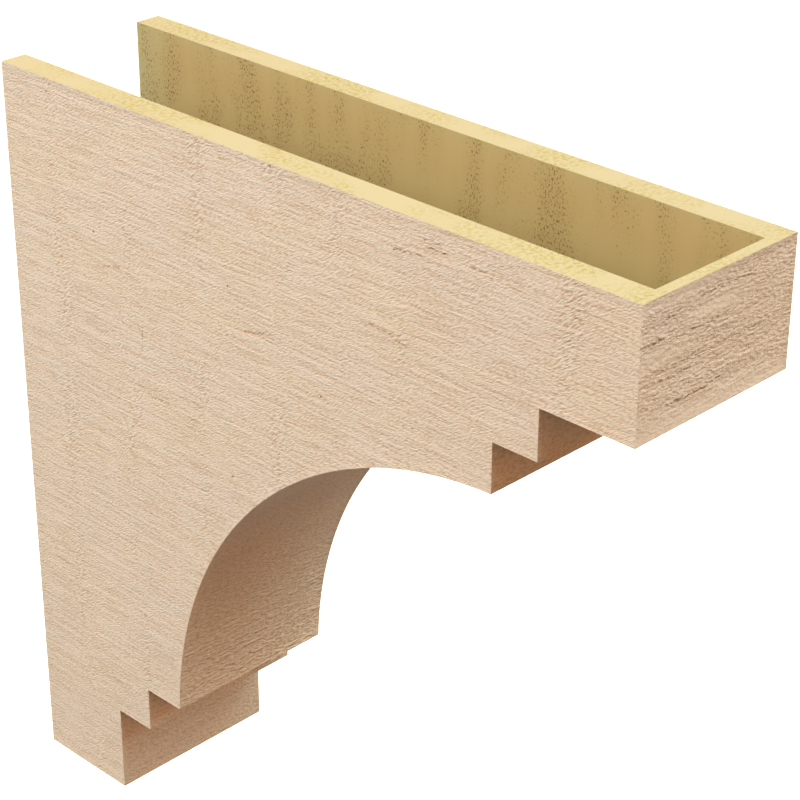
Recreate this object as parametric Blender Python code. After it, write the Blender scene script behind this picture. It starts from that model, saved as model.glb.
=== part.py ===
"""A faux cedar corbel, one hollow shell of moulded rigid foam that is open at its top and its back.

Two flat side walls carry a thin skin between them. The skin runs under the foot, up two square
steps, round a quarter-round cove, up two more steps and over the nose. Seen from the side, the
outline above the cove is the outline below it, mirrored about the diagonal.

Metres, +Z up. The back stands against the wall in the plane Y = 0, and the nose reaches out
to -Y. The origin is on the skin's back edge under the foot, midway across the width.
"""

import math

import bmesh
import bpy

INCH = 0.0254

# Overall size
WIDTH = 6.0 * INCH
PROJECTION = 24.0 * INCH
HEIGHT = 24.0 * INCH

# Thickness of the foam
SIDE_WALL = 0.875 * INCH
SKIN = 0.34375 * INCH

# The foot stands against the wall, and the nose is at the top of the projection
FOOT_DEPTH = 3.75 * INCH
FOOT_RISE = 3.0 * INCH
NOSE_HEIGHT = 3.75 * INCH
NOSE_RUN = 3.0 * INCH

# The square steps between the foot or the nose and the cove
STEP_RUN = 1.5 * INCH
STEP_RISE = 1.5 * INCH

# The ledges from the last steps to the deepest lines of the cove
LOWER_LEDGE = 1.5 * INCH
UPPER_LEDGE = 1.5 * INCH

# How far the cove's centre lies beyond the corners of the last steps
COVE_OVERRUN = 0.5 * INCH
COVE_SEGMENTS = 48

# How far the cutter runs out past the open top and the open back
CUTTER_OVERRUN = 1.0 * INCH

PAINT_COLOUR = (0.70, 0.56, 0.41, 1.0)
FOAM_COLOUR = (0.82, 0.68, 0.36, 1.0)
PAINT_ROUGHNESS = 0.80
FOAM_ROUGHNESS = 0.90

# Faces of the cove lean both ways, by more than this product of their normal's two parts
LEANING = 0.001
# Faces whose normal has this share along one axis face that way
FACING = 0.999


def material(name, colour, roughness):
    """A matt material for one finish of the foam."""
    made = bpy.data.materials.new(name)
    made.use_nodes = True
    shader = made.node_tree.nodes["Principled BSDF"]
    shader.inputs["Base Color"].default_value = colour
    shader.inputs["Roughness"].default_value = roughness
    shader.inputs["Metallic"].default_value = 0.0
    return made


def cove(inset):
    """The cove's points from its lower end to its upper end, on a line this far inside the outer face.

    It is a quarter of a circle where both ledges leave it the same reach out and up.
    """
    step_out = FOOT_DEPTH + STEP_RUN
    step_up = FOOT_RISE + STEP_RISE
    last_out = PROJECTION - NOSE_RUN - STEP_RUN
    last_up = HEIGHT - NOSE_HEIGHT - STEP_RISE
    centre_out = last_out + COVE_OVERRUN
    centre_up = step_up - COVE_OVERRUN
    reach_out = centre_out - (step_out + LOWER_LEDGE) + inset
    reach_up = (last_up - UPPER_LEDGE) - centre_up + inset
    start = math.asin((COVE_OVERRUN + inset) / reach_up)
    end = math.acos((COVE_OVERRUN + inset) / reach_out)
    points = []
    for number in range(COVE_SEGMENTS + 1):
        angle = start + (end - start) * number / COVE_SEGMENTS
        out = centre_out - reach_out * math.cos(angle)
        up = centre_up + reach_up * math.sin(angle)
        points.append((out, up))
    return points


def front(inset):
    """The stepped front from the foot's toe to the nose, as distances out and up."""
    toe_out = FOOT_DEPTH - inset
    step_out = toe_out + STEP_RUN
    nose_out = PROJECTION - NOSE_RUN - inset
    last_out = nose_out - STEP_RUN
    toe_up = FOOT_RISE + inset
    step_up = toe_up + STEP_RISE
    nose_up = HEIGHT - NOSE_HEIGHT + inset
    last_up = nose_up - STEP_RISE
    return [
        (toe_out, inset),
        (toe_out, toe_up),
        (step_out, toe_up),
        (step_out, step_up),
        *cove(inset),
        (last_out, last_up),
        (nose_out, last_up),
        (nose_out, nose_up),
        (PROJECTION - inset, nose_up),
    ]


def outline(inset, overrun):
    """The whole outline, closed along the back and the top, which run this far past the shell."""
    top = HEIGHT + overrun
    return [
        (-overrun, inset),
        *front(inset),
        (PROJECTION - inset, top),
        (-overrun, top),
    ]


def prism(name, points, width, finish):
    """A closed body with this outline, drawn from the side and extruded evenly across X = 0."""
    shape = bmesh.new()
    corners = [shape.verts.new((-width / 2, -out, up)) for out, up in points]
    side = shape.faces.new(corners)
    grown = bmesh.ops.extrude_face_region(shape, geom=[side])
    far_corners = [part for part in grown["geom"] if isinstance(part, bmesh.types.BMVert)]
    bmesh.ops.translate(shape, verts=far_corners, vec=(width, 0, 0))
    bmesh.ops.recalc_face_normals(shape, faces=shape.faces)
    for face in shape.faces:
        face.smooth = abs(face.normal.y * face.normal.z) > LEANING
    mesh = bpy.data.meshes.new(name)
    shape.to_mesh(mesh)
    shape.free()
    mesh.materials.append(finish)
    body = bpy.data.objects.new(name, mesh)
    bpy.context.scene.collection.objects.link(body)
    return body


def leave_bare(body, foam):
    """Gives the cut rims along the top and the back the look of raw foam."""
    body.data.materials.append(foam)
    for face in body.data.polygons:
        if max(face.normal.y, face.normal.z) > FACING:
            face.material_index = 1


def hollow(body, cutter):
    """Cuts the inside out of the shell, and keeps the cutter as a hidden guide."""
    cutter.hide_render = True
    cutter.display_type = "WIRE"
    cutter.parent = body
    cut = body.modifiers.new("hollow", "BOOLEAN")
    cut.operation = "DIFFERENCE"
    cut.solver = "EXACT"
    cut.material_mode = "TRANSFER"
    cut.object = cutter


def build():
    """Clears the scene and builds the corbel."""
    for old in list(bpy.data.objects):
        bpy.data.objects.remove(old, do_unlink=True)
    paint = material("cedar_paint", PAINT_COLOUR, PAINT_ROUGHNESS)
    foam = material("raw_foam", FOAM_COLOUR, FOAM_ROUGHNESS)
    corbel = prism("corbel", outline(0.0, 0.0), WIDTH, paint)
    leave_bare(corbel, foam)
    inside_width = WIDTH - 2 * SIDE_WALL
    inside = prism("inside_cutter", outline(SKIN, CUTTER_OVERRUN), inside_width, foam)
    hollow(corbel, inside)
    corbel.location = (0, 0, -SKIN / 2)


build()
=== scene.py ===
import math
from typing import NamedTuple

import bmesh
import bpy
import numpy as np
from mathutils import Matrix, Vector
from mathutils.kdtree import KDTree


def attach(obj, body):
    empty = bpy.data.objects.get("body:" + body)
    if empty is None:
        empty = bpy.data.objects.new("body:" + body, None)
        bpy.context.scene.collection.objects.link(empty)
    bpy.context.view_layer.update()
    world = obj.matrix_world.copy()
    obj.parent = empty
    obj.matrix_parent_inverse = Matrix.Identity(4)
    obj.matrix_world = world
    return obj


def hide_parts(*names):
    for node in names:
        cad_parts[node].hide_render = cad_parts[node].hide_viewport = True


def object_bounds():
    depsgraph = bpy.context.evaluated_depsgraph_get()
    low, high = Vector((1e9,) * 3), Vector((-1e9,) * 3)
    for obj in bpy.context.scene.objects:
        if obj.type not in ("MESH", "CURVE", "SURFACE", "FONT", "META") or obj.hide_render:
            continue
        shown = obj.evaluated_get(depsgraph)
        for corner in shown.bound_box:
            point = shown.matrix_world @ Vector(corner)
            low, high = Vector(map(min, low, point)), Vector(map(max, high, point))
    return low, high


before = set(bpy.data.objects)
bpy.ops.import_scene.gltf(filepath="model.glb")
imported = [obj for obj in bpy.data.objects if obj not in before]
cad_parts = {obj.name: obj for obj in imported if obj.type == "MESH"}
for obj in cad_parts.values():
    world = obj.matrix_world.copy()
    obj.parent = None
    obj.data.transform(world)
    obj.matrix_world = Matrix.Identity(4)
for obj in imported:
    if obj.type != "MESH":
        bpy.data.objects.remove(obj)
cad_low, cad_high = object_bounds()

# The looks of a hollow foam corbel: rough-sawn cedar relief and matt tan paint on its outer
# faces, bare yellow foam on its cut rims and inside. Lengths are metres, or millimetres where
# a comment says so.

NODE = "corbel"
BODY = "root"
MM = 0.001
WHITE = (1.0, 1.0, 1.0, 1.0)


class Wave(NamedTuple):
    """Smooth waves: their height, and how long they are along and across the grain, all in
    millimetres unless the height is a share."""

    height: float
    along: float
    across: float


class Grain(NamedTuple):
    """Noise in a finish: how long its grains are along and across in millimetres, how many
    degrees they turn, how detailed they are, a seed, and how strongly they count."""

    along: float
    across: float
    turn: float = 0.0
    detail: float = 2.0
    seed: float = 0.0
    strength: float = 1.0


class Paint(NamedTuple):
    """The paint of one kind of face: the height up to which it is brown, a brown that is partly the
    paint's own darker tone in the grain's low places and partly painted shade there, the depth of
    its fine relief in millimetres, and the two tans that it wanders between above that."""

    low: float
    relief: float
    tans: tuple


# The camera of the photograph, its angles in degrees and its sensor in millimetres
CAMERA_PLACE = (-1.0651, -1.3757, 1.1812)
CAMERA_AIM = (0.0479, -0.2926, 0.3835)
CAMERA_ROLL = 0.23
CAMERA_VIEW = 19.242
CAMERA_SENSOR = 36.0

# Four round soft lamps: the way to each from the part, its distance, its width and its
# light. The first is high in front of the nose, two are beside the near wall, and the last
# is beside the far wall.
LAMPS_AIM = (0.0, -0.30, 0.35)
LAMPS = {
    "high_front": ((0.20, -0.54, 0.82), 6.0, 5.0, (0.470, 0.860, 0.950)),
    "high_beside": ((-0.70, 0.20, 0.68), 3.0, 2.0, (0.595, 0.585, 0.580)),
    "beside": ((-0.97, 0.24, 0.0), 2.4, 1.6, (0.020, 0.250, 0.350)),
    "far_beside": ((0.97, 0.24, 0.0), 2.4, 1.6, (0.365, 0.520, 0.610)),
}
# Warm light that a ceiling sends back, which fades out a little below level
CEILING_LIGHT = (1.130, 0.590, 0.288)
CEILING_FADE = 0.3

# The floor lies well below the corbel, which hangs on a wall that isn't shown
FLOOR_DROP = 0.60
FLOOR_SIZE = 16.0
FLOOR_COLOUR = (0.95, 0.95, 0.95)
FLOOR_GLOW = 1.0
FLOOR_ROUGHNESS = 0.9

# The axes across the width, along the projection and upwards
ACROSS, OUT, UP = range(3)

# How finely the outer faces are cut along each axis
CUT_ACROSS = 3.0 * MM
CUT_OUT = 4.0 * MM
CUT_UP = 1.8 * MM
NOSE_CUT_ACROSS = 1.5 * MM
NOSE_CUT_UP = 0.9 * MM

# Corners closer than this are one corner, and faces that turn less than this are one face
JOIN = 0.001 * MM
FLAT_TURN = math.radians(0.5)
CREASE_TURN = math.radians(40.0)

# What each face of the shell is, kept on the face while it is cut up. A face lies in the end
# plane that it is this near to, a face with this much of its normal along an axis is square
# to it, and a face whose normal leans two ways by more than this is part of the cove.
SIDE, COVE, STEPS, NOSE, RIM, INSIDE = range(6)
NEAR = 0.1 * MM
SQUARE = 0.99
LEANING = 0.001

# The relief fades out this far from a sharp edge, so that every edge stays straight
EDGE_FADE = 6.0 * MM

# Random values to a side of the square that the relief's noise repeats in
NOISE_CELLS = 512

# The sawn relief: its mean depth in millimetres, how its ridges bend, the ridges, and a swell
SAWN_DEPTH = 0.3
SAWN_BEND = Wave(1.6, 70, 40)
SAWN_RIDGES = (Wave(0.10, 80, 3.8), Wave(0.06, 16, 2.4))
SAWN_SWELL = Wave(0.12, 60, 28)

# The coarser torn relief on the end of the nose, the same way
COARSE_DEPTH = 0.65
COARSE_BEND = Wave(3.0, 45, 18)
COARSE_RIDGES = (Wave(0.30, 50, 10), Wave(0.20, 11, 5.0), Wave(0.16, 5.0, 2.6))

# The first seed of each relief and of the torn bands
NEAR_SIDE_SEED = 10
FAR_SIDE_SEED = 20
COVE_SEED = 30
STEPS_SEED = 40
NOSE_SEED = 50
TORN_SEED = 60

# Where bands of torn grain cross the near side wall, in millimetres out from the wall, then
# their half width, how torn they are on average, how they break up, and torn patches between
TORN_BANDS = (56, 132, 216, 295, 356, 414, 493, 559)
TORN_WIDTH = 14.0
TORN_MEAN = 0.40
TORN_BREAKS = Wave(0.60, 9, 30)
TORN_PATCHES = Wave(0.30, 26, 30)

# Marks in the near side wall: each runs from one place to another, in millimetres out from
# the wall and up from the underside, then its half width in millimetres and its depth from
# 0 to 1
SIDE_MARKS = (
    (407, 583, 434, 586, 1.3, 0.6),
    (434, 593, 452, 593, 1.4, 0.6),
    (434, 598, 450, 599, 1.8, 0.5),
    (475, 591, 488, 591, 1.3, 0.4),
    (100, 475, 128, 482, 2.0, 0.4),
    (262, 475, 288, 482, 2.0, 0.4),
    (378, 521, 400, 522, 1.6, 0.4),
    (400, 522, 418, 517, 1.6, 0.4),
    (148, 424, 149, 440, 1.2, 0.4),
    (150, 386, 175, 387, 2.0, 0.4),
)

# Pin holes in the near side wall, out from the wall and up from the underside in millimetres
PIN_HOLES = ((292, 607), (52, 599), (98, 502), (245, 505), (244, 353), (338, 452))
PIN_WIDTH = 1.3

# Marks in the end of the nose, the same way but from the middle of the width
NOSE_MARKS = (
    (-20, 596, 10, 597, 1.4, 0.6),
    (10, 597, 38, 594, 1.2, 0.5),
    (-76, 581, -54, 579, 1.8, 0.7),
    (-52, 593, -44, 592, 1.8, 0.5),
    (-41, 576, 13, 577, 1.4, 0.4),
    (-60, 558, 60, 557, 3.0, 0.3),
    (-60, 552, -25, 551, 1.4, 0.4),
    (-48, 533, -10, 532, 1.4, 0.6),
    (-10, 532, 10, 534, 1.2, 0.5),
)

# Smoother patches of the nose: the middle of each, and how far it reaches across and up, in
# millimetres. Then how smooth they are at most, and the height that their grain levels at.
NOSE_CALM = (
    (-60, 568, 24, 8),
    (4, 586, 32, 7),
    (0, 519, 300, 10),
    (-40, 606, 80, 6),
)
NOSE_CALM_MOST = 0.6
NOSE_CALM_HEIGHT = 0.66

# The cove's grain calms down between these two places, by their distance out and up together,
# by this much at most and to this height, a low one that browns the paint upwards as painted
# shade in the cove's deep upper part
COVE_CALM = (0.30, 0.68)
COVE_CALM_MOST = 0.6
COVE_CALM_SHADE_HEIGHT = 0.30

# In the map of the grain the far side lies this far along and the nose this far up, so that
# the near side's marks miss them
MAP_GAP = 1.0

# How rough the finishes are, and how much they shine
PAINT_ROUGHNESS = 0.8
FOAM_ROUGHNESS = 0.9
SHINE = 0.2

# The noise of a finish is from 0 to 1 about this mean
NOISE_MEAN = 0.5

# How the painted grain bends, and how the marks in it wander
GRAIN_BEND = Wave(5.0, 70, 24)
COVE_BEND = Wave(4.0, 60, 20)
SIDE_MARK_BEND = Wave(5.0, 6, 4)
NOSE_MARK_BEND = Wave(5.0, 6, 5)
BEND_SEED = 9.0

# The painted grain: long sawn lines with short slanting ticks over them
SAWN_STREAKS = Grain(14, 1.5, seed=20.0, strength=0.28)
SAWN_LINES = Grain(60, 2.4, detail=3.0, strength=0.40)
SAWN_SLANTS = Grain(3.4, 1.2, turn=30.0, detail=3.0, seed=3.0, strength=0.56)

# The steeper ticks of the torn bands, and the heights of them between which marks fade in
TORN_TICKS = Grain(5.5, 1.8, turn=35.0, seed=6.0)
SIDE_MARK_BREAKS = (0.60, 0.45)

# The rounder grain of the cove, and its spots, pits that take the marks' painted shade
COVE_STREAKS = Grain(5.0, 2.2, detail=4.0, seed=22.0, strength=0.85)
COVE_LINES = Grain(90, 4.0, detail=3.0, seed=24.0, strength=0.40)
COVE_SPOTS = Grain(6.0, 2.5, seed=26.0)
COVE_SPOT_FADE = (0.64, 0.80)

# The torn lumps of the steps and the nose, over part of the sawn grain and a little deeper
TORN_LUMPS = Grain(4.0, 2.2, turn=-8.0, detail=4.0, seed=15.0, strength=0.75)
TORN_SWELLS = Grain(50, 9, seed=17.0, strength=0.20)
TORN_SAWN_SHARE = 0.50
TORN_DROP = -0.17
NOSE_MARK_BREAKS = (0.66, 0.44)

# The paints, the height from which they are all tan, and the patches that they wander in
SIDE_PAINT = Paint(0.35, 1.55, ((0.78, 0.66, 0.515), (0.77, 0.66, 0.54)))
# The cove's tans are lighter than the same paint elsewhere: painted light that lifts the cove out of
# its shade
COVE_LIT_PAINT = Paint(0.1, 4.8, ((0.945, 0.81, 0.615), (0.935, 0.80, 0.635)))
STEP_PAINT = Paint(0.26, 2.3, ((0.78, 0.665, 0.52), (0.77, 0.66, 0.54)))
NOSE_PAINT = Paint(0.26, 2.3, ((0.81, 0.66, 0.525), (0.80, 0.66, 0.55)))
PAINT_HIGH = 0.68
PAINT_PATCHES = Grain(110, 50, seed=12.0)
PAINT_PATCH_FADE = (0.35, 0.65)
# The brown of the low places: partly the paint's own darker tone in the grooves, partly painted shade
# in them
LOW_BROWN_AND_SHADE = (0.50, 0.31, 0.15)

# How far a mark sinks the paint's height, where painted shade in it fades in, and the dark brown of
# that painted shade
MARK_SINKS = -0.4
MARK_SHADE_FADE = (0.15, 1.0)
MARK_SHADE_BROWN = (0.22, 0.12, 0.07)

# The foam of the cut rims, and the olive that mottles it
RIM_FOAM = (0.48, 0.45, 0.283)
RIM_OLIVE = (0.385, 0.352, 0.126)
RIM_PATCHES = Grain(40, 60, seed=1.0)
RIM_PATCH_FADE = (0.40, 0.60)
RIM_SPECKS = Grain(3, 3, detail=4.0, seed=2.0)
RIM_SPECK_FADE = (0.45, 0.62)
RIM_RELIEF = 0.3

# The two foams that the inside wanders between in upright bands, and the brown specks that
# crowd where the bands are strong, up to a limit
INSIDE_FOAMS = ((0.485, 0.44, 0.225), (0.45, 0.408, 0.20))
INSIDE_BANDS = Grain(30, 120, detail=4.0, seed=1.0, strength=0.8)
INSIDE_BAND_FADE = (0.35, 0.65)
INSIDE_BAND_LIMIT = 0.60
INSIDE_SPECKS = Grain(1.4, 2.2, detail=3.0, seed=2.0)
INSIDE_SPECK_FADE = (0.995, 1.14)
SPECK_BROWN = (0.22, 0.15, 0.06)
INSIDE_RELIEF = 0.05


def eased(share):
    """A share from 0 to 1 that starts and ends gently."""
    return share * share * (3.0 - 2.0 * share)


def noise(u, v, seed):
    """Smooth noise from -1 to 1, with a random value at each whole u and v."""
    values = np.random.default_rng(seed).uniform(-1.0, 1.0, (NOISE_CELLS, NOISE_CELLS))
    column = np.floor(u).astype(int)
    row = np.floor(v).astype(int)
    across = eased(u - column)
    along = eased(v - row)
    column %= NOISE_CELLS
    row %= NOISE_CELLS
    next_column = (column + 1) % NOISE_CELLS
    next_row = (row + 1) % NOISE_CELLS
    low = values[column, row] * (1 - across) + values[next_column, row] * across
    high = values[column, next_row] * (1 - across) + values[next_column, next_row] * across
    return low * (1 - along) + high * along


def waves(u, v, wave, seed):
    """Waves of this height and these lengths, at places along and across the grain."""
    return wave.height * noise(u / wave.along, v / wave.across, seed)


def ridges(u, v, bend, layers, seed):
    """Layers of ridges along u that all bend the same way, in millimetres."""
    bent = v + waves(u, v, bend, seed)
    return sum(waves(u, bent, layer, seed + number) for number, layer in enumerate(layers, 1))


def sawn(u, v, seed):
    """Shallow ridges that a saw leaves along u, as depths in millimetres below the face."""
    swell = waves(u, v, SAWN_SWELL, seed + len(SAWN_RIDGES) + 1)
    return SAWN_DEPTH + ridges(u, v, SAWN_BEND, SAWN_RIDGES, seed) + swell


def coarse(u, v, seed):
    """The coarser torn ridges on the end of the nose, as depths in millimetres."""
    return COARSE_DEPTH + ridges(u, v, COARSE_BEND, COARSE_RIDGES, seed)


def torn_share(u, v):
    """How torn the grain is at each place on a broad side, from 0 to 1."""
    share = waves(u, v, TORN_PATCHES, TORN_SEED)
    breaks = waves(u, v, TORN_BREAKS, TORN_SEED + 1)
    for middle in TORN_BANDS:
        band = np.exp(-(((u - middle) / TORN_WIDTH) ** 2))
        share += band * (TORN_MEAN + breaks)
    return np.clip(share, 0.0, 1.0)


def calm_share(x, up):
    """How smooth each place on the nose is, from 0 to 1."""
    share = np.zeros_like(x)
    for middle, height, across, upwards in NOSE_CALM:
        off = ((x - middle) / across) ** 2 + ((up - height) / upwards) ** 2
        share = np.maximum(share, NOSE_CALM_MOST * np.exp(-off))
    return share


def reliefs(places):
    """The depth of each kind of face's relief at every place, in millimetres."""
    x, y, z = places.T / MM
    out = -y
    up = z - cad_low[UP] / MM
    return {
        SIDE: np.where(x < 0, sawn(out, up, NEAR_SIDE_SEED), sawn(out, up, FAR_SIDE_SEED)),
        COVE: sawn(x, up + out, COVE_SEED),
        STEPS: sawn(x, up + out, STEPS_SEED),
        NOSE: coarse(x, up, NOSE_SEED),
    }


def cut_faces(shape, kind, kinds, axis, spacing):
    """Cuts the faces of these kinds by evenly spaced planes across one axis."""
    faces = [face for face in shape.faces if face[kind] in kinds]
    edges = {edge for face in faces for edge in face.edges}
    verts = {vert for face in faces for vert in face.verts}
    low = min(vert.co[axis] for vert in verts)
    high = max(vert.co[axis] for vert in verts)
    parts = [*verts, *edges, *faces]
    normal = Vector((0.0, 0.0, 0.0))
    normal[axis] = 1.0
    count = round((high - low) / spacing)
    for number in range(1, count):
        place = normal * (low + (high - low) * number / count)
        cut = bmesh.ops.bisect_plane(shape, geom=parts, dist=JOIN, plane_co=place, plane_no=normal)
        parts = cut["geom"]


def cut_shell(shape, kind):
    """Cuts the outer faces into a fine grid, and the end of the nose into a finer one."""
    cut_faces(shape, kind, (NOSE,), UP, NOSE_CUT_UP)
    cut_faces(shape, kind, (NOSE,), ACROSS, NOSE_CUT_ACROSS)
    cut_faces(shape, kind, (SIDE, COVE, STEPS), UP, CUT_UP)
    cut_faces(shape, kind, (SIDE, COVE, STEPS), OUT, CUT_OUT)
    cut_faces(shape, kind, (COVE, STEPS), ACROSS, CUT_ACROSS)


def kind_of(face):
    """Whether a whole face of the solid is a broad side, cove, steps, nose, rim or inside."""
    normal = face.normal
    middle = face.calc_center_median()
    reach = max(abs(vert.co.x) for vert in face.verts)
    if normal.z > SQUARE and middle.z > cad_high[UP] - NEAR:
        return RIM
    if normal.y > SQUARE and middle.y > cad_high[OUT] - NEAR:
        return RIM
    if reach < cad_high[ACROSS] - NEAR:
        return INSIDE
    if abs(normal.x) > SQUARE:
        return SIDE
    if abs(normal.y * normal.z) > LEANING:
        return COVE
    if middle.y < cad_low[OUT] + NEAR:
        return NOSE
    return STEPS


def crease(shape):
    """Keeps the corners of the shell sharp and shades the rest smooth."""
    for edge in shape.edges:
        edge.smooth = edge.calc_face_angle(0.0) < CREASE_TURN
    for face in shape.faces:
        face.smooth = True


def grain_of(kind, place):
    """Distances along and across the grain of a face, where place is a point on it."""
    out = -place.y
    up = place.z - cad_low[UP]
    if kind in (SIDE, INSIDE):
        return out + (MAP_GAP if place.x > 0 else 0.0), up
    if kind == NOSE:
        return place.x, up + MAP_GAP
    if kind == RIM:
        return place.x, -up - out
    return place.x, up + out


def map_grain(shape, kind):
    """Writes the grain's distances to a UV map, which the finishes follow."""
    grain = shape.loops.layers.uv.new("grain")
    for face in shape.faces:
        for loop in face.loops:
            loop[grain].uv = grain_of(face[kind], loop.vert.co)


def edge_fade(shape):
    """How far each point is from the sharp edges, from 0 on them to 1 some millimetres away."""
    edges = [edge for edge in shape.edges if not edge.smooth]
    sharp = {vert.index: vert.co.copy() for edge in edges for vert in edge.verts}
    tree = KDTree(len(sharp))
    for index, place in sharp.items():
        tree.insert(place, index)
    tree.balance()
    return np.array([min(tree.find(vert.co)[2] / EDGE_FADE, 1.0) for vert in shape.verts])


def rows(items, name):
    """The three numbers of this name that each item has, one item to a row."""
    values = np.empty(len(items) * 3)
    items.foreach_get(name, values)
    return values.reshape(-1, 3)


def whole(items, name):
    """The whole number of this name that each item has."""
    values = np.empty(len(items), int)
    items.foreach_get(name, values)
    return values


def outward(count, corners, normals):
    """The way outwards at each of the mesh's points, or zero at a point with no corner here."""
    way = np.zeros((count, 3))
    np.add.at(way, corners, normals)
    length = np.linalg.norm(way, axis=1, keepdims=True)
    return np.divide(way, length, out=np.zeros_like(way), where=length > 0)


def sink(mesh, kinds, fade):
    """Moves the outer faces' points into the foam by the depth of the relief there."""
    places = rows(mesh.vertices, "co")
    normals = rows(mesh.polygons, "normal")
    corners = whole(mesh.loops, "vertex_index")
    face_of = np.repeat(np.arange(len(mesh.polygons)), whole(mesh.polygons, "loop_total"))
    moved = places.copy()
    for kind, depth in reliefs(places).items():
        mine = kinds[face_of] == kind
        way = outward(len(places), corners[mine], normals[face_of[mine]])
        moved -= way * (depth * fade)[:, None] * MM
    mesh.vertices.foreach_set("co", moved.ravel())


def write_shares(mesh):
    """Writes how torn and how calm the grain is at each point, which the finishes follow."""
    x, y, z = rows(mesh.vertices, "co").T / MM
    shares = {"torn": torn_share(-y, z), "calm": calm_share(x, z - cad_low[UP] / MM)}
    for name, share in shares.items():
        mesh.attributes.new(name, "FLOAT", "POINT").data.foreach_set("value", share)


def joined_solid(node):
    """The solid with its corners joined and each flat face in one piece."""
    shape = bmesh.new()
    shape.from_mesh(node.data)
    bmesh.ops.remove_doubles(shape, verts=shape.verts, dist=JOIN)
    bmesh.ops.dissolve_limit(shape, angle_limit=FLAT_TURN, verts=shape.verts, edges=shape.edges)
    return shape


def shell_mesh(node):
    """The mesh of the shell, with real relief on its outer faces."""
    shape = joined_solid(node)
    kind = shape.faces.layers.int.new("kind")
    for face in shape.faces:
        face[kind] = kind_of(face)
    cut_shell(shape, kind)
    crease(shape)
    map_grain(shape, kind)
    for face in shape.faces:
        face.material_index = face[kind]
    kinds = np.array([face[kind] for face in shape.faces])
    shape.verts.index_update()
    fade = edge_fade(shape)
    mesh = bpy.data.meshes.new("corbel_shell")
    shape.to_mesh(mesh)
    shape.free()
    write_shares(mesh)
    sink(mesh, kinds, fade)
    return mesh


def build_shell(node, finishes):
    """The corbel again, with its relief and its finishes."""
    mesh = shell_mesh(node)
    for finish in finishes:
        mesh.materials.append(finish)
    shell = bpy.data.objects.new("corbel_shell", mesh)
    bpy.context.scene.collection.objects.link(shell)
    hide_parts(NODE)
    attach(shell, BODY)


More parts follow.
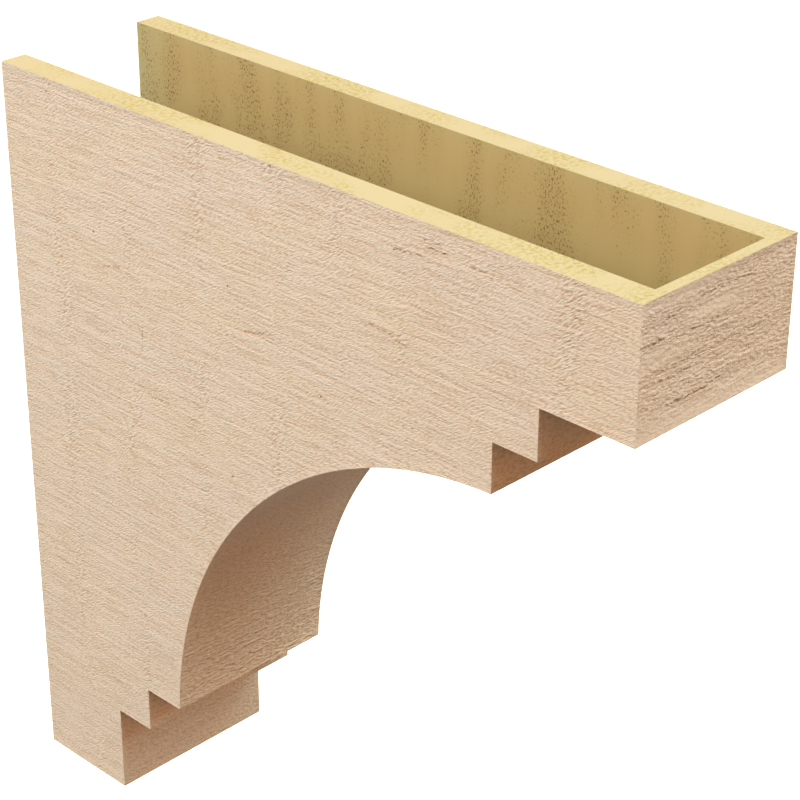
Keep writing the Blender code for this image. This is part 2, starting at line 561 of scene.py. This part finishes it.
class Finish:
    """A matt material, and short ways to add the nodes that vary it."""

    def __init__(self, name, roughness):
        self.material = bpy.data.materials.new(name)
        self.material.use_nodes = True
        self.tree = self.material.node_tree
        self.shader = self.tree.nodes["Principled BSDF"]
        self.shader.inputs["Roughness"].default_value = roughness
        self.shader.inputs["Specular IOR Level"].default_value = SHINE

    def feed(self, value, socket):
        """Joins another node's output to a socket, or sets the socket to a plain value."""
        if isinstance(value, bpy.types.NodeSocket):
            self.tree.links.new(value, socket)
        else:
            socket.default_value = value

    def grain(self):
        """The distances along and across the grain."""
        node = self.tree.nodes.new("ShaderNodeUVMap")
        node.uv_map = "grain"
        return node.outputs["UV"]

    def across(self, grain):
        """The distance across the grain."""
        node = self.tree.nodes.new("ShaderNodeSeparateXYZ")
        self.feed(grain, node.inputs[0])
        return node.outputs["Y"]

    def share(self, name):
        """One of the mesh's own values from 0 to 1."""
        node = self.tree.nodes.new("ShaderNodeAttribute")
        node.attribute_name = name
        return node.outputs["Fac"]

    def math(self, operation, *values):
        """The result of one sum."""
        node = self.tree.nodes.new("ShaderNodeMath")
        node.operation = operation
        for value, socket in zip(values, node.inputs):
            self.feed(value, socket)
        return node.outputs[0]

    def vector(self, operation, *values):
        """A node for one sum with vectors."""
        node = self.tree.nodes.new("ShaderNodeVectorMath")
        node.operation = operation
        for value, socket in zip(values, node.inputs):
            self.feed(value, socket)
        return node

    def noise(self, place, grain):
        """Noise from 0 to 1 with grains like these."""
        grid = self.tree.nodes.new("ShaderNodeMapping")
        grid.vector_type = "TEXTURE"
        grid.inputs["Location"].default_value = (0.0, 0.0, -grain.seed)
        grid.inputs["Rotation"].default_value = (0.0, 0.0, math.radians(grain.turn))
        grid.inputs["Scale"].default_value = (grain.along * MM, grain.across * MM, 1.0)
        self.feed(place, grid.inputs["Vector"])
        node = self.tree.nodes.new("ShaderNodeTexNoise")
        node.inputs["Scale"].default_value = 1.0
        node.inputs["Detail"].default_value = grain.detail
        self.feed(grid.outputs[0], node.inputs["Vector"])
        return node.outputs["Fac"]

    def heap(self, place, *grains, start=0.0):
        """These grains, each as strong as it says, added up on top of a first height."""
        height = start
        for grain in grains:
            height = self.math("MULTIPLY_ADD", self.noise(place, grain), grain.strength, height)
        return height

    def bend(self, place, wave):
        """The same place, moved across the grain by up to half a wave's height either way."""
        wander = self.noise(place, Grain(wave.along, wave.across, seed=BEND_SEED))
        height = wave.height * MM
        shift = self.tree.nodes.new("ShaderNodeCombineXYZ")
        self.feed(self.math("MULTIPLY_ADD", wander, height, -height / 2), shift.inputs["Y"])
        return self.vector("ADD", place, shift.outputs[0]).outputs["Vector"]

    def fade(self, value, low, high):
        """A value's share of the way from low to high, kept from 0 to 1."""
        node = self.tree.nodes.new("ShaderNodeMapRange")
        self.feed(value, node.inputs["Value"])
        self.feed(low, node.inputs["From Min"])
        self.feed(high, node.inputs["From Max"])
        return node.outputs[0]

    def away(self, place, start, reach):
        """How far each place is from a line with this start and this reach."""
        off = self.vector("SUBTRACT", place, start).outputs["Vector"]
        along = self.vector("DOT_PRODUCT", off, reach.normalized()).outputs["Value"]
        kept = self.math("MINIMUM", self.math("MAXIMUM", along, 0.0), reach.length)
        nearest = self.vector("SCALE", reach.normalized())
        self.feed(kept, nearest.inputs["Scale"])
        return self.vector("DISTANCE", off, nearest.outputs["Vector"]).outputs["Value"]

    def marks(self, place, marks, lift):
        """How deep the deepest of these marks is at each place, from 0 to 1."""
        deepest = 0.0
        for *ends, width, depth in marks:
            from_u, from_v, to_u, to_v = (end * MM for end in ends)
            start = Vector((from_u, from_v + lift, 0.0))
            reach = Vector((to_u - from_u, to_v - from_v, 0.0))
            share = self.fade(self.away(place, start, reach), width * MM, 0.0)
            deepest = self.math("MAXIMUM", deepest, self.math("MULTIPLY", share, depth))
        return deepest

    def blend(self, share, first, second):
        """A colour between two colours."""
        node = self.tree.nodes.new("ShaderNodeMix")
        node.data_type = "RGBA"
        self.feed(share, node.inputs["Factor"])
        sockets = [socket for socket in node.inputs if socket.type == "RGBA"]
        for value, socket in zip((first, second), sockets):
            self.feed(value if isinstance(value, bpy.types.NodeSocket) else (*value, 1.0), socket)
        return next(socket for socket in node.outputs if socket.type == "RGBA")

    def mix(self, share, first, second):
        """A value between two values."""
        node = self.tree.nodes.new("ShaderNodeMix")
        self.feed(share, node.inputs["Factor"])
        self.feed(first, node.inputs["A"])
        self.feed(second, node.inputs["B"])
        return node.outputs["Result"]

    def shade(self, colour, height, depth):
        """Gives the material its colour, and fine relief this many millimetres deep."""
        self.feed(colour, self.shader.inputs["Base Color"])
        bump = self.tree.nodes.new("ShaderNodeBump")
        bump.inputs["Distance"].default_value = depth * MM
        self.feed(height, bump.inputs["Height"])
        self.feed(bump.outputs[0], self.shader.inputs["Normal"])


def sawn_grain(finish, place):
    """The height of long sawn lines with short slanting ticks over them."""
    return finish.heap(place, SAWN_STREAKS, SAWN_LINES, SAWN_SLANTS)


def paint_over(finish, place, height, marks_and_shade, paint):
    """Tan paint that is browner in the low places, partly its own tone and partly painted shade, and
    darkest in the marks, where that dark brown is painted shade.
    """
    height = finish.math("MULTIPLY_ADD", marks_and_shade, MARK_SINKS, height)
    patches = finish.noise(place, PAINT_PATCHES)
    light = finish.blend(finish.fade(patches, *PAINT_PATCH_FADE), *paint.tans)
    colour = finish.blend(finish.fade(height, paint.low, PAINT_HIGH), LOW_BROWN_AND_SHADE, light)
    # The dark brown in the marks, pin holes and spots is painted shade in their hollows
    colour = finish.blend(finish.fade(marks_and_shade, *MARK_SHADE_FADE), colour, MARK_SHADE_BROWN)
    finish.shade(colour, height, paint.relief)


def cedar_paint():
    """Matt tan paint over sawn grain, with bands of torn lumps across it."""
    finish = Finish("cedar_paint", PAINT_ROUGHNESS)
    grain = finish.grain()
    bent = finish.bend(grain, GRAIN_BEND)
    ticks = finish.noise(bent, TORN_TICKS)
    lumps = finish.math("SUBTRACT", ticks, NOISE_MEAN)
    height = finish.math("MULTIPLY_ADD", lumps, finish.share("torn"), sawn_grain(finish, bent))
    marks_and_shade = finish.marks(finish.bend(grain, SIDE_MARK_BEND), SIDE_MARKS, 0.0)
    marks_and_shade = finish.math("MULTIPLY", marks_and_shade, finish.fade(ticks, *SIDE_MARK_BREAKS))
    pins = finish.marks(grain, [(*place, *place, PIN_WIDTH, 1.0) for place in PIN_HOLES], 0.0)
    marks_and_shade = finish.math("MAXIMUM", marks_and_shade, pins)
    paint_over(finish, grain, height, marks_and_shade, SIDE_PAINT)
    return finish.material


def cove_paint():
    """The same paint in the cove, lightened as painted light, with rounder grain and spots that calm
    down upwards, where the paint browns as painted shade.
    """
    finish = Finish("cove_paint", PAINT_ROUGHNESS)
    grain = finish.grain()
    height = finish.heap(finish.bend(grain, COVE_BEND), COVE_STREAKS, COVE_LINES)
    calm = finish.fade(finish.across(grain), *COVE_CALM)
    level = finish.math("MULTIPLY", calm, COVE_CALM_MOST)
    # Upwards the grain levels to a low height, which smooths it and browns the paint: painted shade
    height = finish.mix(level, height, COVE_CALM_SHADE_HEIGHT)
    spots = finish.fade(finish.noise(grain, COVE_SPOTS), *COVE_SPOT_FADE)
    spots = finish.mix(calm, spots, 0.0)
    paint_over(finish, grain, height, spots, COVE_LIT_PAINT)
    return finish.material


def torn_paint(name, paint):
    """The same paint over coarser torn lumps."""
    finish = Finish(name, PAINT_ROUGHNESS)
    grain = finish.grain()
    bent = finish.bend(grain, GRAIN_BEND)
    sawn_part = finish.math("MULTIPLY_ADD", sawn_grain(finish, bent), TORN_SAWN_SHARE, TORN_DROP)
    height = finish.heap(bent, TORN_LUMPS, TORN_SWELLS, start=sawn_part)
    height = finish.mix(finish.share("calm"), height, NOSE_CALM_HEIGHT)
    breaks = finish.fade(finish.noise(bent, TORN_LUMPS), *NOSE_MARK_BREAKS)
    marks_and_shade = finish.marks(finish.bend(grain, NOSE_MARK_BEND), NOSE_MARKS, MAP_GAP)
    paint_over(finish, grain, height, finish.math("MULTIPLY", marks_and_shade, breaks), paint)
    return finish.material


def step_paint():
    """The torn paint on the steps."""
    return torn_paint("step_paint", STEP_PAINT)


def nose_paint():
    """The torn paint on the end of the nose."""
    return torn_paint("nose_paint", NOSE_PAINT)


def rim_foam():
    """Bare foam along the cut rims, mottled with olive."""
    finish = Finish("cut_foam", FOAM_ROUGHNESS)
    grain = finish.grain()
    patches = finish.fade(finish.noise(grain, RIM_PATCHES), *RIM_PATCH_FADE)
    specks = finish.noise(grain, RIM_SPECKS)
    mottled = finish.math("MULTIPLY", patches, finish.fade(specks, *RIM_SPECK_FADE))
    finish.shade(finish.blend(mottled, RIM_FOAM, RIM_OLIVE), specks, RIM_RELIEF)
    return finish.material


def inside_foam():
    """Bare foam inside the shell, with brown specks in upright bands."""
    finish = Finish("moulded_foam", FOAM_ROUGHNESS)
    grain = finish.grain()
    bands = finish.noise(grain, INSIDE_BANDS)
    specks = finish.noise(grain, INSIDE_SPECKS)
    limited = finish.math("MINIMUM", bands, INSIDE_BAND_LIMIT)
    crowded = finish.math("MULTIPLY_ADD", limited, INSIDE_BANDS.strength, specks)
    colour = finish.blend(finish.fade(bands, *INSIDE_BAND_FADE), *INSIDE_FOAMS)
    colour = finish.blend(finish.fade(crowded, *INSIDE_SPECK_FADE), colour, SPECK_BROWN)
    finish.shade(colour, specks, INSIDE_RELIEF)
    return finish.material


# The finish of each kind of face, in the order of the kinds
FINISHES = (cedar_paint, cove_paint, step_paint, nose_paint, rim_foam, inside_foam)


def light_part():
    """The four soft lamps, and the light of the room."""
    for name, (towards, distance, width, light) in LAMPS.items():
        data = bpy.data.lights.new(name, "AREA")
        data.shape = "DISK"
        data.size = width
        strongest = max(light)
        data.color = [part / strongest for part in light]
        data.energy = strongest * (math.pi * distance) ** 2
        lamp = bpy.data.objects.new(name, data)
        bpy.context.scene.collection.objects.link(lamp)
        way = Vector(towards).normalized()
        turn = way.to_track_quat("Z", "Y").to_matrix().to_4x4()
        lamp.matrix_world = Matrix.Translation(Vector(LAMPS_AIM) + way * distance) @ turn
        lamp.visible_camera = False
    light_room()


def light_room():
    """The ceiling's light all round the part, behind which the camera sees plain white."""
    world = bpy.data.worlds.new("room")
    world.use_nodes = True
    nodes = world.node_tree.nodes
    links = world.node_tree.links
    direction = nodes.new("ShaderNodeTexCoord")
    parts = nodes.new("ShaderNodeSeparateXYZ")
    links.new(direction.outputs["Generated"], parts.inputs[0])
    rise = nodes.new("ShaderNodeMapRange")
    rise.inputs["From Min"].default_value = -CEILING_FADE
    rise.inputs["From Max"].default_value = CEILING_FADE
    links.new(parts.outputs["Z"], rise.inputs["Value"])
    links.new(rise.outputs[0], nodes["Background"].inputs["Strength"])
    nodes["Background"].inputs["Color"].default_value = (*CEILING_LIGHT, 1.0)
    seen = nodes.new("ShaderNodeBackground")
    seen.inputs["Color"].default_value = WHITE
    path = nodes.new("ShaderNodeLightPath")
    either = nodes.new("ShaderNodeMixShader")
    links.new(path.outputs["Is Camera Ray"], either.inputs[0])
    links.new(nodes["Background"].outputs[0], either.inputs[1])
    links.new(seen.outputs[0], either.inputs[2])
    links.new(either.outputs[0], nodes["World Output"].inputs["Surface"])
    bpy.context.scene.world = world


def floor_finish():
    """A matt white that glows evenly."""
    pale = bpy.data.materials.new("floor_white")
    pale.use_nodes = True
    shader = pale.node_tree.nodes["Principled BSDF"]
    shader.inputs["Base Color"].default_value = (*FLOOR_COLOUR, 1.0)
    shader.inputs["Emission Color"].default_value = WHITE
    shader.inputs["Emission Strength"].default_value = FLOOR_GLOW
    shader.inputs["Roughness"].default_value = FLOOR_ROUGHNESS
    return pale


def lay_floor():
    """A plain pale floor that neither lights the part nor stops a lamp's light."""
    half = FLOOR_SIZE / 2
    height = cad_low[UP] - FLOOR_DROP
    corners = [(x, y, height) for x, y in ((-half, -half), (half, -half), (half, half), (-half, half))]
    mesh = bpy.data.meshes.new("floor")
    mesh.from_pydata(corners, [], [(0, 1, 2, 3)])
    mesh.materials.append(floor_finish())
    floor = bpy.data.objects.new("floor", mesh)
    bpy.context.scene.collection.objects.link(floor)
    floor.visible_diffuse = False
    floor.visible_shadow = False


def place_camera():
    """The photograph's camera."""
    data = bpy.data.cameras.new("camera")
    data.sensor_width = CAMERA_SENSOR
    data.angle = math.radians(CAMERA_VIEW)
    camera = bpy.data.objects.new("camera", data)
    bpy.context.scene.collection.objects.link(camera)
    place = Vector(CAMERA_PLACE)
    look = Vector(CAMERA_AIM) - place
    turn = look.to_track_quat("-Z", "Y").to_matrix().to_4x4()
    roll = Matrix.Rotation(math.radians(CAMERA_ROLL), 4, "Z")
    camera.matrix_world = Matrix.Translation(place) @ turn @ roll
    bpy.context.scene.camera = camera


place_camera()
light_part()
lay_floor()
bpy.context.scene.view_settings.view_transform = "Standard"
build_shell(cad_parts[NODE], [make() for make in FINISHES])
